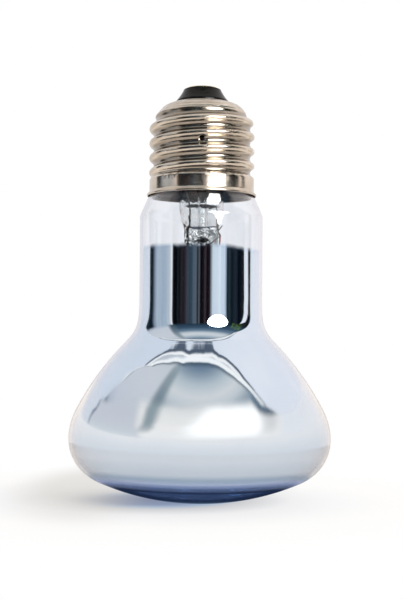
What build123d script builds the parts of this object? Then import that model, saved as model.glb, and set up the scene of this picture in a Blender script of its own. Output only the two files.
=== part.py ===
from build123d import *
import os
from math import asin, atan2, ceil, cos, pi, radians, sin, sqrt, tan

# Reflector lamp standing on its clear domed face, screw cap up.
# Millimetres. The origin is the lowest point of the face, +Z runs up the axis to the contact.

os.makedirs("parts", exist_ok=True)

# Blown glass, outside
face_radius = 62.0          # sphere of the clear face
bulb_radius = 32.15         # widest ring
edge_radius = 10.6          # rounding from the face to the widest ring
belly_radius = 15.0         # first rounding above the widest ring
belly_turn = radians(27)
flank_radius = 68.0         # long soft curve of the reflector flank
flank_turn = radians(43)
waist_radius = 9.5          # hollow rounding from the flank to the neck
neck_radius = 15.17
neck_shoulder_z = 69.8      # where the neck starts to draw in
neck_shoulder_radius = 5.0
neck_shoulder_turn = radians(30)
seal_neck_radius = 10.6     # narrow end of the neck inside the cap
seal_neck_hollow = 3.0
seal_z = 83.5               # end of the neck
glass_wall = 0.7

# Aluminium film inside the glass
film = 0.1
film_gap = 0.05
film_lower_turn = radians(-52.5)
film_top_z = 63.0

# Cap shell
sheet = 0.3
thread_radius = 13.05       # over the crests
thread_pitch = 3.629
crest_round = 0.85
root_round = 1.2
crest_front_z = 92.5        # height of the topmost crest at the front
thread_start_z = 78.4       # plane where the smooth skirt ends
thread_run_in = (78.7, 80.6)
thread_run_out = (93.6, 96.0)
skirt_radius = 12.93
shoulder_bend_z = 91.8      # where the shell bends in towards the dome
shoulder_bend_radius = 3.5
shoulder_turn = radians(40)
dome_start_z = 96.2
dome_radius = 4.0
dome_turn = radians(76)
collar_radius = 6.6         # opening in the top of the shell
rim_z = 74.95               # lower edge of the rim
rim_radius = 13.56
rim_flare_z = 76.3
rim_flare_radius = 0.8
rim_flare_turn = radians(65)
rim_round = 0.2
punch_radius = 0.58
punch_z = 87.6
sections_per_pitch = 8
points_per_turn = 32
seam_tolerance = 0.001      # where the rolled part meets the skirt and the dome

# Insulator and contact
seat_gap = 0.05
insulator_top_z = 101.6
insulator_top_radius = 4.75
insulator_foot_z = 94.6
insulator_foot_radius = 7.4
insulator_bore = 0.9
insulator_waist_z = 98.6
insulator_edge_round = 0.35
contact_radius = 4.1
contact_height = 0.6
contact_proud = 0.25
contact_bore = 0.5
solder_radius = 1.7
solder_height = 0.5

# Cement
cement_foot_z = 76.3
cement_top_z = 82.0
cement_skirt_gap = 0.08
cement_thread_radius = 11.5

# Glass stem
flare_thickness = 0.8
flare_mouth_radius = 9.0
flare_tube_radius = 5.5
flare_tube_wall = 0.8
flare_tube_z = 77.0         # the trumpet becomes a tube here
flatten_z = 72.0            # the tube starts to flatten here
press_width = 8.4
press_depth = 3.0
press_top_z = 67.4
press_foot_z = 62.3
press_round = 0.5
exhaust_radius = 1.2
exhaust_bore = 0.75
exhaust_foot_z = 64.9
exhaust_tip_z = 90.5
blow_hole_width = 2.6
blow_hole_height = 1.1
blow_hole_z = 64.2

# Wires
wire_fit = 0.02
lead_spacing = 6.2          # between the two wires in the press
seal_wire_radius = 0.25
seal_wire_foot_z = 61.9
seal_wire_top_z = 69.0
inner_lead_radius = 0.35
outer_lead_radius = 0.22
side_lead_radius = 0.12
support_radius = 0.14
support_spacing = 1.6
support_grip = 1.0          # length held in the press
tie_wire_radius = 0.16
tie_wire_start = (1.7, 63.0)   # x and z at the front of the press
tie_wire_end = (5.2, 67.6)
tie_wire_grip = 0.8
tie_wire_bend = 0.3
filament_ring_radius = 7.0
filament_z = 33.0
coil_radius = 0.35
hook_clearance = 0.07
shell_solder_radius = 0.75


def spot(r, z):
    """Point of a profile, at radius r and height z."""
    return Vector(r, 0, z)


def rounded(centre, radius, turn, hollow=False):
    """Point of a rounding whose surface faces up by the angle turn."""
    side = -radius if hollow else radius
    return spot(centre[0] + side * cos(turn), centre[1] + side * sin(turn))


def chain(points):
    return [Edge.make_line(a, b) for a, b in zip(points, points[1:]) if (a - b).length > 1e-6]


def turned(edges):
    """Solid turned about the lamp's axis from a closed profile."""
    return Solid.revolve(Face(Wire(edges)), 360, Axis.Z)


def profile(roundings, start=None, end=None):
    """Roundings of a profile, joined by straight stretches."""
    edges = []
    last = start
    for centre, radius, turn_in, turn_out, hollow in roundings:
        first = rounded(centre, radius, turn_in, hollow)
        middle = rounded(centre, radius, (turn_in + turn_out) / 2, hollow)
        final = rounded(centre, radius, turn_out, hollow)
        if last is not None and (first - last).length > 1e-6:
            edges.append(Edge.make_line(last, first))
        edges.append(Edge.make_three_point_arc(first, middle, final))
        last = final
    if end is not None and (end - last).length > 1e-6:
        edges.append(Edge.make_line(last, end))
    return edges


def glass_roundings(inset=0.0, lowest_turn=-pi / 2, up_to_neck=False):
    """Roundings of the blown glass from the face to the neck, moved in by inset."""
    edge_r = bulb_radius - edge_radius
    edge_z = face_radius - sqrt((face_radius - edge_radius) ** 2 - edge_r ** 2)
    face_turn = atan2(edge_z - face_radius, edge_r)
    belly = (bulb_radius - belly_radius, edge_z)
    flank = (belly[0] + (belly_radius - flank_radius) * cos(belly_turn),
             belly[1] + (belly_radius - flank_radius) * sin(belly_turn))
    flank_end = rounded(flank, flank_radius, flank_turn)
    waist_r = neck_radius + waist_radius
    slope = (flank_end.X - waist_r + waist_radius * cos(flank_turn)) / sin(flank_turn)
    waist = (waist_r, flank_end.Z + slope * cos(flank_turn) + waist_radius * sin(flank_turn))
    parts = []
    if lowest_turn < face_turn:
        parts.append(((0, face_radius), face_radius - inset, lowest_turn, face_turn, False))
    parts += [
        ((edge_r, edge_z), edge_radius - inset, max(lowest_turn, face_turn), 0, False),
        (belly, belly_radius - inset, 0, belly_turn, False),
        (flank, flank_radius - inset, belly_turn, flank_turn, False),
        (waist, waist_radius + inset, flank_turn, 0, True),
    ]
    if up_to_neck:
        return parts
    shoulder = (neck_radius - neck_shoulder_radius, neck_shoulder_z)
    hollow_r = seal_neck_radius + seal_neck_hollow
    shoulder_end = rounded(shoulder, neck_shoulder_radius, neck_shoulder_turn)
    hollow_start = hollow_r - seal_neck_hollow * cos(neck_shoulder_turn)
    rise = (shoulder_end.X - hollow_start) / tan(neck_shoulder_turn)
    hollow = (hollow_r, shoulder_end.Z + rise + seal_neck_hollow * sin(neck_shoulder_turn))
    return parts + [
        (shoulder, neck_shoulder_radius - inset, 0, neck_shoulder_turn, False),
        (hollow, seal_neck_hollow + inset, neck_shoulder_turn, 0, True),
    ]


def neck_slope_radius(z, clear=0.0):
    """Outer radius of the glass where the neck draws in under the cap."""
    start = rounded((neck_radius - neck_shoulder_radius, neck_shoulder_z),
                    neck_shoulder_radius, neck_shoulder_turn)
    return start.X - (z - start.Z) * tan(neck_shoulder_turn) + clear / cos(neck_shoulder_turn)


def make_glass_envelope():
    outer = profile(glass_roundings(), end=spot(seal_neck_radius, seal_z))
    inner = profile(glass_roundings(glass_wall), end=spot(seal_neck_radius - glass_wall, seal_z))
    lip = Edge.make_line(outer[-1] @ 1, inner[-1] @ 1)
    foot = Edge.make_line(outer[0] @ 0, inner[0] @ 0)
    return turned(outer + inner + [lip, foot])


def make_mirror_coating():
    back, front = (
        profile(glass_roundings(inset, film_lower_turn, True), end=spot(neck_radius - inset, film_top_z))
        for inset in (glass_wall + film_gap, glass_wall + film_gap + film)
    )
    top = Edge.make_line(back[-1] @ 1, front[-1] @ 1)
    foot = Edge.make_line(back[0] @ 0, front[0] @ 0)
    return turned(back + front + [top, foot])


# Thread of the cap shell
flank_sine = thread_pitch / (2 * (crest_round + root_round))
thread_depth = (crest_round + root_round) * (1 - sqrt(1 - flank_sine ** 2))


def thread_profile(height, inset):
    """Radius of the round thread at a height from the middle of a crest."""
    along = abs(height)
    if along <= (crest_round - inset) * flank_sine:
        return thread_radius - crest_round + sqrt((crest_round - inset) ** 2 - along ** 2)
    root = root_round + inset
    return thread_radius - thread_depth + root_round - sqrt(root ** 2 - (thread_pitch / 2 - along) ** 2)


def ease(x):
    x = min(1, max(0, x))
    return x * x * (3 - 2 * x)


def shell_base(z, inset):
    """Radius over the crests, from the skirt to the cone below the dome."""
    low, high = thread_run_in
    bend = shoulder_bend_radius - inset
    up = z - shoulder_bend_z
    if up <= 0:
        return skirt_radius + (thread_radius - skirt_radius) * ease((z - low) / (high - low)) - inset
    if up <= bend * sin(shoulder_turn):
        return thread_radius - shoulder_bend_radius + sqrt(bend ** 2 - up ** 2)
    cone_start = thread_radius - shoulder_bend_radius + bend * cos(shoulder_turn)
    return cone_start - (up - bend * sin(shoulder_turn)) * tan(shoulder_turn)


def thread_fade(z):
    low_in, high_in = thread_run_in
    low_out, high_out = thread_run_out
    return ease((z - low_in) / (high_in - low_in)) * ease((high_out - z) / (high_out - low_out))


def shell_radius(angle, z, inset):
    """Radius of the rolled shell: one right handed crest that fades at both ends."""
    turns = (z - crest_front_z) / thread_pitch - (angle + pi / 2) / (2 * pi)
    height = (turns - round(turns)) * thread_pitch
    return shell_base(z, inset) - thread_fade(z) * (thread_radius - inset - thread_profile(height, inset))


def thread_section(z, inset):
    steps = [k / points_per_turn for k in range(points_per_turn + 1)]
    ring = []
    for step in steps[:-1]:
        angle = 2 * pi * step
        r = shell_radius(angle, z, inset)
        ring.append((r * cos(angle), r * sin(angle), z))
    return Wire([Edge.make_spline(ring, periodic=True, parameters=steps)])


def thread_body(inset):
    span = dome_start_z - thread_start_z
    count = ceil(span / thread_pitch * sections_per_pitch)
    return Solid.make_loft([thread_section(thread_start_z + span * k / count, inset) for k in range(count + 1)])


def dome_profile(inset, collar_r):
    """Profile from the cone over the dome to the collar, moved in by inset."""
    bend_z = dome_start_z + (sheet + seat_gap) * sin(shoulder_turn)
    centre = (shell_base(bend_z, 0) - dome_radius * cos(shoulder_turn), bend_z - dome_radius * sin(shoulder_turn))
    rounding = (centre, dome_radius - inset, shoulder_turn, dome_turn, False)
    top = rounded(centre, dome_radius - inset, dome_turn)
    collar = spot(collar_r, top.Z + (top.X - collar_r) / tan(dome_turn))
    return profile([rounding], start=spot(shell_base(dome_start_z, inset), dome_start_z), end=collar)


def make_dome():
    outer, inner = (dome_profile(inset, collar_radius) for inset in (0, sheet))
    foot = Edge.make_line(outer[0] @ 0, inner[0] @ 0)
    collar = Edge.make_line(outer[-1] @ 1, inner[-1] @ 1)
    return turned(outer + inner + [foot, collar])


def make_skirt():
    flare = (skirt_radius + rim_flare_radius, rim_flare_z)
    turns = (0, -rim_flare_turn / 2, -rim_flare_turn)
    outside = [spot(flare[0] - rim_flare_radius * cos(t), flare[1] + rim_flare_radius * sin(t)) for t in turns]
    under = rim_flare_radius + sheet
    inside = [spot(flare[0] - under * cos(t), flare[1] + under * sin(t)) for t in turns]
    lip = [spot(rim_radius, outside[2].Z - rim_round), spot(rim_radius, rim_z), spot(inside[2].X, rim_z)]
    edges = [
        Edge.make_line(spot(skirt_radius, thread_start_z), outside[0]),
        Edge.make_three_point_arc(*outside),
        Edge.make_line(outside[2], lip[0]),
        Edge.make_line(lip[0], lip[1]),
        Edge.make_line(lip[1], lip[2]),
        Edge.make_line(lip[2], inside[2]),
        Edge.make_three_point_arc(*inside),
        Edge.make_line(inside[0], spot(skirt_radius - sheet, thread_start_z)),
        Edge.make_line(spot(skirt_radius - sheet, thread_start_z), spot(skirt_radius, thread_start_z)),
    ]
    return turned(edges)


def make_screw_shell():
    rolled = thread_body(0) - thread_body(sheet)
    shell = make_skirt().fuse(rolled, make_dome(), tol=seam_tolerance)
    wall = thread_radius - thread_depth
    punch = Plane(origin=(0, -wall / 2, punch_z), z_dir=(0, -1, 0)) * Cylinder(
        punch_radius, wall, align=(Align.CENTER, Align.CENTER, Align.MIN))
    return shell - punch


def make_insulator():
    neck_r = collar_radius - seat_gap
    under_dome = dome_profile(sheet + seat_gap, neck_r)
    waist = spot(neck_r, insulator_waist_z)
    top_edge = spot(insulator_top_radius, insulator_top_z - insulator_edge_round)
    middle = spot((neck_r + insulator_top_radius) / 2 - 0.1, (insulator_waist_z + top_edge.Z) / 2 - 0.1)
    recess_r = contact_radius + seat_gap
    recess_z = insulator_top_z + contact_proud - contact_height
    foot = spot(insulator_foot_radius, insulator_foot_z)
    edges = chain([foot, under_dome[0] @ 0]) + under_dome + chain([under_dome[-1] @ 1, waist])
    edges.append(Edge.make_three_point_arc(waist, middle, top_edge))
    edges += chain([
        top_edge,
        spot(insulator_top_radius - insulator_edge_round, insulator_top_z),
        spot(recess_r, insulator_top_z),
        spot(recess_r, recess_z),
        spot(insulator_bore, recess_z),
        spot(insulator_bore, insulator_foot_z),
        foot,
    ])
    return turned(edges)


contact_top_z = insulator_top_z + contact_proud


def make_contact_plate():
    edge = contact_height / 4
    return turned(chain([
        spot(contact_bore, contact_top_z - contact_height),
        spot(contact_radius, contact_top_z - contact_height),
        spot(contact_radius, contact_top_z - edge),
        spot(contact_radius - edge, contact_top_z),
        spot(contact_bore, contact_top_z),
        spot(contact_bore, contact_top_z - contact_height),
    ]))


def make_contact_solder():
    """Cap of a sphere on the contact plate."""
    base = spot(solder_radius, contact_top_z)
    peak = spot(0, contact_top_z + solder_height)
    ball = (solder_radius ** 2 + solder_height ** 2) / (2 * solder_height)
    half = asin(solder_radius / ball) / 2
    side = spot(ball * sin(half), peak.Z - ball * (1 - cos(half)))
    dome = Edge.make_three_point_arc(base, side, peak)
    return turned([dome] + chain([peak, spot(0, contact_top_z), base]))


def wire(points, radius, start_tangent=None, end_tangent=None):
    """Round wire along a smooth path."""
    if start_tangent is None:
        path = Edge.make_spline([Vector(p) for p in points])
    else:
        path = Edge.make_spline([Vector(p) for p in points], tangents=[Vector(start_tangent), Vector(end_tangent)])
    section = Plane(origin=path @ 0, z_dir=path % 0) * Circle(radius)
    return sweep(section, path=path).solid()


def straight_wire(x, y, low, high, radius):
    return Pos(x, y, low) * Cylinder(radius, high - low, align=(Align.CENTER, Align.CENTER, Align.MIN))


def side_lead_path():
    """From the press up the stem, over the end of the neck and down to the rim at the back."""
    x = lead_spacing / 2
    clear = side_lead_radius + wire_fit
    beside_neck = seal_neck_radius + 0.3 + side_lead_radius
    under_rim = rim_z - side_lead_radius - wire_fit
    slope = [rim_z + 2.4, rim_z + 1.3, rim_z + 0.35]
    return [
        (x, 0, seal_wire_top_z),
        (x + 0.75, 0, 72.0),
        (x + 0.75, 0, 77.0),
        (x + 0.3, 1.0, 82.0),
        (x - 0.3, 4.5, seal_z + 2.6),
        (1.2, beside_neck - 1.6, seal_z + 2.6),
        (0, beside_neck, seal_z),
        (0, beside_neck, cement_top_z - 1.5),
        (0, beside_neck, rim_z + 4.2),
        *[(0, neck_slope_radius(z, clear), z) for z in slope],
        (0, neck_slope_radius(under_rim, clear) - 0.03, under_rim - 0.12),
    ]


def make_side_lead(radius=side_lead_radius):
    return wire(side_lead_path(), radius)


def make_contact_lead():
    x = -lead_spacing / 2
    points = [
        (x, 0, seal_wire_top_z),
        (x + 0.15, 0, 72.2),
        (x - 0.8, 0, 76.5),
        (x - 0.3, 0, 84.0),
        (x + 1.0, 0, exhaust_tip_z),
        (0, 0, insulator_foot_z + 0.6),
        (0, 0, contact_top_z),
    ]
    return wire(points, outer_lead_radius, (0, 0, 1), (0, 0, 1))


def make_cap_cement():
    """Ring between the drawn in neck and the shell, with a channel for the side lead."""
    inner = [seal_neck_radius + seat_gap, cement_top_z]
    skirt_in = skirt_radius - sheet - cement_skirt_gap
    slope_end = rounded(*[glass_roundings()[-1][i] for i in (0, 1)], neck_shoulder_turn, True)
    edges = chain([
        spot(inner[0], cement_top_z),
        spot(cement_thread_radius, cement_top_z),
        spot(cement_thread_radius, thread_start_z),
        spot(skirt_in, thread_start_z),
        spot(skirt_in, cement_foot_z),
        spot(neck_slope_radius(cement_foot_z, seat_gap), cement_foot_z),
        spot(slope_end.X + seat_gap / cos(neck_shoulder_turn), slope_end.Z),
        spot(inner[0], glass_roundings()[-1][0][1]),
        spot(inner[0], cement_top_z),
    ])
    return turned(edges) - make_side_lead(side_lead_radius + wire_fit)


def make_shell_solder(shell):
    """Small joint that closes over the end of the side lead at the back of the rim."""
    ball = Pos(0, rim_radius + 0.25, rim_z + 0.15) * Sphere(shell_solder_radius)
    inside = neck_slope_radius(rim_z + 0.15 - shell_solder_radius, 2 * seat_gap)
    core = Pos(0, 0, rim_z - 5) * Cylinder(inside, 10, align=(Align.CENTER, Align.CENTER, Align.MIN))
    joint = ball - core - shell - make_side_lead(side_lead_radius + wire_fit)
    return max(joint.solids(), key=lambda s: s.volume)


def make_stem_flare():
    inner_r = flare_tube_radius - flare_tube_wall
    top_z = seal_z + flare_thickness
    neck_in = seal_neck_radius - glass_wall - seat_gap
    outer_curve = Edge.make_three_point_arc(
        spot(neck_in, seal_z),
        spot(flare_tube_radius + 0.25 * (neck_in - flare_tube_radius), seal_z - 2.6),
        spot(flare_tube_radius, flare_tube_z))
    inner_curve = Edge.make_three_point_arc(
        spot(inner_r, flare_tube_z),
        spot(inner_r + 0.25 * (flare_mouth_radius - inner_r), top_z - 2.9),
        spot(flare_mouth_radius, top_z))
    trumpet = turned(
        [outer_curve, inner_curve]
        + chain([spot(flare_tube_radius, flare_tube_z), spot(flare_tube_radius, flatten_z),
                 spot(inner_r, flatten_z), spot(inner_r, flare_tube_z)])
        + chain([spot(flare_mouth_radius, top_z), spot(seal_neck_radius, top_z),
                 spot(seal_neck_radius, seal_z), spot(neck_in, seal_z)]))
    drop = flatten_z - press_top_z
    outer = flattened([
        (flare_tube_radius, flare_tube_radius, flatten_z),
        (flare_tube_radius * 0.94, flare_tube_radius * 0.74, flatten_z - 0.5 * drop),
        (press_width / 2, press_depth / 2 + 0.35, press_top_z),
    ])
    hollow = flattened([
        (inner_r, inner_r, flatten_z),
        (inner_r * 0.92, inner_r * 0.66, flatten_z - 0.5 * drop),
        (press_width / 2 - 0.8, exhaust_radius + 0.1, press_top_z),
    ])
    slab = Pos(0, 0, (press_top_z + press_foot_z) / 2) * Box(press_width, press_depth, press_top_z - press_foot_z)
    slab = fillet(slab.edges().filter_by(Axis.Z), press_depth * 0.4)
    slab = fillet(slab.edges().group_by(Axis.Z)[0], press_round)
    glass = trumpet + (outer - hollow) + slab
    return glass - press_holes()


def flattened(rings):
    """Tube end that goes from round to flat through ellipses (half width, half depth, height)."""
    return loft([Plane.XY.offset(z) * Ellipse(a, b) for a, b, z in rings])


def press_holes():
    bore_r = exhaust_radius + wire_fit
    chamber_foot = blow_hole_z - blow_hole_height / 2
    holes = straight_wire(0, 0, chamber_foot, press_top_z + 0.5, bore_r)
    blow = Plane(origin=(0, 0, blow_hole_z), z_dir=(0, -1, 0)) * Ellipse(
        blow_hole_width / 2, blow_hole_height / 2)
    holes += extrude(blow, press_depth)
    for side in (-1, 1):
        x = side * lead_spacing / 2
        holes += straight_wire(x, 0, press_foot_z - 1, press_top_z + 1.5, seal_wire_radius + wire_fit)
    for k in (-1, 0, 1):
        x = k * support_spacing
        holes += straight_wire(x, 0, press_foot_z - 1, press_foot_z + support_grip, support_radius + wire_fit)
    x, z = tie_wire_start
    seat = Plane(origin=(x, -press_depth / 2 + tie_wire_grip, z), z_dir=(0, -1, 0))
    holes += seat * Cylinder(tie_wire_radius + wire_fit, press_depth, align=(Align.CENTER, Align.CENTER, Align.MIN))
    return holes


def make_exhaust_tube():
    """Thin tube fused into the press and melted shut at its tip."""
    wall = exhaust_radius - exhaust_bore
    tip = exhaust_tip_z - exhaust_radius
    outside = Edge.make_three_point_arc(
        spot(exhaust_radius, tip), rounded((0, tip), exhaust_radius, pi / 4), spot(0, exhaust_tip_z))
    inside = Edge.make_three_point_arc(
        spot(0, exhaust_tip_z - wall), rounded((0, tip), exhaust_bore, pi / 4), spot(exhaust_bore, tip))
    return turned([outside, inside] + chain([spot(0, exhaust_tip_z), spot(0, exhaust_tip_z - wall)]) + chain([
        spot(exhaust_bore, tip),
        spot(exhaust_bore, exhaust_foot_z),
        spot(exhaust_radius, exhaust_foot_z),
        spot(exhaust_radius, tip),
    ]))


def make_inner_lead(side):
    x = side * lead_spacing / 2
    end = side * filament_ring_radius
    points = [
        (x, 0, seal_wire_foot_z),
        (x + side * 0.2, 0, seal_wire_foot_z - 6),
        (x + side * 2.2, 0, filament_z + 12),
        (end, 0, filament_z + 3),
        (end, 0, filament_z - 1),
    ]
    return wire(points, inner_lead_radius, (0, 0, -1), (0, 0, -1))


def make_support_wire(k):
    """Wire from the press to a small eye that carries the filament."""
    x = k * support_spacing
    angle = -pi / 2 + k * pi / 4
    eye = coil_radius + hook_clearance + support_radius
    out_x, out_y = filament_ring_radius * cos(angle), filament_ring_radius * sin(angle)
    points = [
        (x, 0, press_foot_z + support_grip),
        (x, 0, press_foot_z - 3),
        (x + 0.55 * (out_x - x), 0.55 * out_y, filament_z + 14),
        (out_x, out_y, filament_z + 4),
        (out_x, out_y, filament_z + eye),
    ]
    stem = wire(points, support_radius, (0, 0, -1), (0, 0, -1))
    along = (-sin(angle), cos(angle), 0)
    ring = Plane(origin=(out_x, out_y, filament_z), z_dir=along) * Torus(eye, support_radius)
    return stem + ring


def make_tie_wire():
    """Short wire held in the front of the press, leaning up to the right."""
    x, z = tie_wire_start
    end_x, end_z = tie_wire_end
    front = -press_depth / 2 - tie_wire_radius - seat_gap
    held = Vector(x, -press_depth / 2 + tie_wire_grip, z)
    path = FilletPolyline(held, Vector(x, front, z), Vector(end_x, front, end_z), radius=tie_wire_bend)
    return sweep(Plane(origin=path @ 0, z_dir=path % 0) * Circle(tie_wire_radius), path=path).solid()


def make_filament():
    """Coiled wire along the front half of a ring between the two leads."""
    end_gap = asin((inner_lead_radius + wire_fit) / filament_ring_radius)
    ends = (pi + end_gap, 2 * pi - end_gap)
    at = [(filament_ring_radius * cos(t), filament_ring_radius * sin(t), filament_z)
          for t in (ends[0], 1.5 * pi, ends[1])]
    path = Edge.make_three_point_arc(*at)
    section = Plane(origin=path @ 0, z_dir=path % 0) * Circle(coil_radius)
    return sweep(section, path=path)


def make_seal_wire(side):
    return straight_wire(side * lead_spacing / 2, 0, seal_wire_foot_z, seal_wire_top_z, seal_wire_radius)


screw_shell = make_screw_shell()
nodes = {
    "glass_envelope": make_glass_envelope(),
    "mirror_coating": make_mirror_coating(),
    "screw_shell": screw_shell,
    "insulator": make_insulator(),
    "contact_plate": make_contact_plate(),
    "contact_solder": make_contact_solder(),
    "shell_solder": make_shell_solder(screw_shell),
    "cap_cement": make_cap_cement(),
    "stem_flare": make_stem_flare(),
    "exhaust_tube": make_exhaust_tube(),
    "lead_outer_contact": make_contact_lead(),
    "lead_outer_shell": make_side_lead(),
    "lead_seal_left": make_seal_wire(-1),
    "lead_seal_right": make_seal_wire(1),
    "lead_inner_left": make_inner_lead(-1),
    "lead_inner_right": make_inner_lead(1),
    "support_wire_1": make_support_wire(-1),
    "support_wire_2": make_support_wire(0),
    "support_wire_3": make_support_wire(1),
    "tie_wire": make_tie_wire(),
    "filament": make_filament(),
}
for name, solid in nodes.items():
    export_step(solid, f"parts/{name}.step")
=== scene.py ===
"""Reptile daylight bulb: looks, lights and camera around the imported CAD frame."""
from math import asin, atan2, ceil, cos, degrees, pi, radians, remainder, sin, sqrt, tan

import bmesh
import bpy
from mathutils import Matrix, Vector, noise


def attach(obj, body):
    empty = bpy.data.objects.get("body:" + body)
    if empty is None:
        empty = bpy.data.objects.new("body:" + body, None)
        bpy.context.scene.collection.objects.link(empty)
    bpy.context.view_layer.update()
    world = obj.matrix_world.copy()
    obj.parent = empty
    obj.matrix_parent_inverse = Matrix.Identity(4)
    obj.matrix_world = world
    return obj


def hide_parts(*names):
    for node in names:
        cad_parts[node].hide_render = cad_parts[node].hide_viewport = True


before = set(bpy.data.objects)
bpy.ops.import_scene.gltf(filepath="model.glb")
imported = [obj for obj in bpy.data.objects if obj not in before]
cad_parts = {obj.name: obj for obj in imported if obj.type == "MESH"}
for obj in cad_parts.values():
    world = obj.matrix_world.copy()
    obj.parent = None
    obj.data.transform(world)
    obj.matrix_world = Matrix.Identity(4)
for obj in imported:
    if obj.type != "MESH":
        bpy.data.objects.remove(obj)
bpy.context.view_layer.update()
scene = bpy.context.scene
MM = 0.001

# sizes in mm, the same as in the CAD source
FACE_R, BULB_R, EDGE_R, BELLY_R = 62.0, 32.15, 10.6, 15.0
BELLY_TURN, FLANK_R, FLANK_TURN, WAIST_R = radians(27), 68.0, radians(43), 9.5
NECK_R, SHOULDER_Z, SHOULDER_R, SHOULDER_TURN = 15.17, 69.8, 5.0, radians(30)
SEAL_R, SEAL_HOLLOW, SEAL_Z, WALL = 10.6, 3.0, 83.5, 0.7
FILM, FILM_GAP, FILM_LOW, FILM_TOP = 0.1, 0.05, radians(-52.5), 63.0
SHEET, CREST_R, PITCH, CREST_ROUND, ROOT_ROUND = 0.3, 13.05, 3.629, 0.85, 1.2
CREST_Z, THREAD_Z, RUN_IN, RUN_OUT = 92.5, 78.4, (78.7, 80.6), (93.6, 96.0)
SKIRT_R, BEND_Z, BEND_R, BEND_TURN = 12.93, 91.8, 3.5, radians(40)
DOME_Z, DOME_R, DOME_TURN, COLLAR_R = 96.2, 4.0, radians(76), 6.6
RIM_Z, RIM_R, FLARE_Z, FLARE_R, FLARE_TURN = 74.95, 13.56, 76.3, 0.8, radians(65)
PUNCH_R, PUNCH_Z, MOULD_GAP = 0.58, 87.6, 0.05
INSULATOR_LOW, INSULATOR_TOP, RECESS_R, RECESS_Z, PLATE_TOP = 94.6, 101.6, 4.15, 101.25, 101.85
EXHAUST_R, EXHAUST_BORE, EXHAUST_LOW, EXHAUST_TOP = 1.2, 0.75, 67.3, 90.5
FILAMENT_Z, FILAMENT_R, COIL_R = 33.0, 7.0, 0.35

# sizes of the finer forms that only the looks have
FADE, FADE_Z, FADE_SPAN = 0.095, 45.3, 2.1          # the hand-blown waist runs gently into the neck
ROLL_Z, ROLL_QUICK, ROLL_SLOW, ROLL_TURN, ROLL_LEAN = 69.4, 2.5, 10.5, radians(15), radians(24)
DIMPLE, DIMPLE_SPAN = 0.2, 0.18                     # around the punched hole


# mesh helpers
def finish_mesh(name, verts, faces, sharp=35.0):
    """Object from points in mm, outward normals, smooth with sharp edges kept."""
    mesh = bpy.data.meshes.new(name)
    mesh.from_pydata([Vector(v) * MM for v in verts], [], faces)
    bm = bmesh.new()
    bm.from_mesh(mesh)
    bmesh.ops.recalc_face_normals(bm, faces=bm.faces)
    bm.to_mesh(mesh)
    bm.free()
    mesh.shade_smooth()
    mesh.set_sharp_from_angle(angle=radians(sharp))
    obj = bpy.data.objects.new(name, mesh)
    scene.collection.objects.link(obj)
    return obj


def steps(count, first=0.0, last=1.0):
    """Evenly spaced numbers, both ends included."""
    return [first + (last - first) * k / count for k in range(count + 1)]


def fall(x):
    """Exponential fall from 1 at 0."""
    return 2.718 ** -x


def ease(x):
    """Smooth step from 0 at 0 to 1 at 1."""
    x = min(1, max(0, x))
    return x * x * (3 - 2 * x)


def arc(centre, radius, start, end, step=3.0):
    """Points (r, z) of a rounding; angles are the slope of the surface, as in the CAD source."""
    count = max(2, ceil(abs(degrees(end - start)) / step))
    return [(centre[0] + radius * cos(t), centre[1] + radius * sin(t)) for t in steps(count, start, end)]


def line(a, b, step):
    count = max(1, ceil(((a[0] - b[0]) ** 2 + (a[1] - b[1]) ** 2) ** 0.5 / step))
    return [(a[0] + (b[0] - a[0]) * k / count, a[1] + (b[1] - a[1]) * k / count) for k in range(count + 1)]


def arc3(a, b, c, count):
    """Points of the arc through three points."""
    ax, ay, bx, by, cx, cy = *a, *b, *c
    d = 2 * (ax * (by - cy) + bx * (cy - ay) + cx * (ay - by))
    ux = ((ax**2 + ay**2) * (by - cy) + (bx**2 + by**2) * (cy - ay) + (cx**2 + cy**2) * (ay - by)) / d
    uy = ((ax**2 + ay**2) * (cx - bx) + (bx**2 + by**2) * (ax - cx) + (cx**2 + cy**2) * (bx - ax)) / d
    r = sqrt((ax - ux) ** 2 + (ay - uy) ** 2)
    start, middle, end = (atan2(y - uy, x - ux) for x, y in (a, b, c))
    middle = start + remainder(middle - start, 2 * pi)
    end = middle + remainder(end - middle, 2 * pi)
    return [(ux + r * cos(t), uy + r * sin(t)) for t in steps(count, start, end)]


def tidy(points):
    """Leaves out points that lie on the one before."""
    out = [points[0]]
    for p in points[1:]:
        if abs(p[0] - out[-1][0]) + abs(p[1] - out[-1][1]) > 1e-5:
            out.append(p)
    return out


def ring_faces(low, high):
    """Faces between two rings of points. One of them can be a single point."""
    faces = []
    for k in range(max(len(low), len(high))):
        n = k + 1
        corners = low[k % len(low)], low[n % len(low)], high[n % len(high)], high[k % len(high)]
        faces.append(tuple(dict.fromkeys(corners)))
    return faces


def lathe(name, points, segments=192, loop=False, shift=None, sharp=35.0):
    """Turns (r, z) points about the axis; ends on the axis close with a point."""
    points = tidy(points)
    if loop and abs(points[0][0] - points[-1][0]) + abs(points[0][1] - points[-1][1]) < 1e-5:
        points.pop()
    verts, rows, faces = [], [], []
    for r, z in points:
        if r < 1e-6:
            rows.append([len(verts)])
            verts.append((0, 0, z))
            continue
        rows.append([len(verts) + k for k in range(segments)])
        for k in range(segments):
            a = 2 * pi * k / segments
            v = Vector((r * cos(a), r * sin(a), z))
            verts.append(v + shift(v) if shift else v)
    for low, high in zip(rows, rows[1:] + rows[:1] if loop else rows[1:]):
        faces += ring_faces(low, high)
    return finish_mesh(name, verts, faces, sharp)


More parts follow.
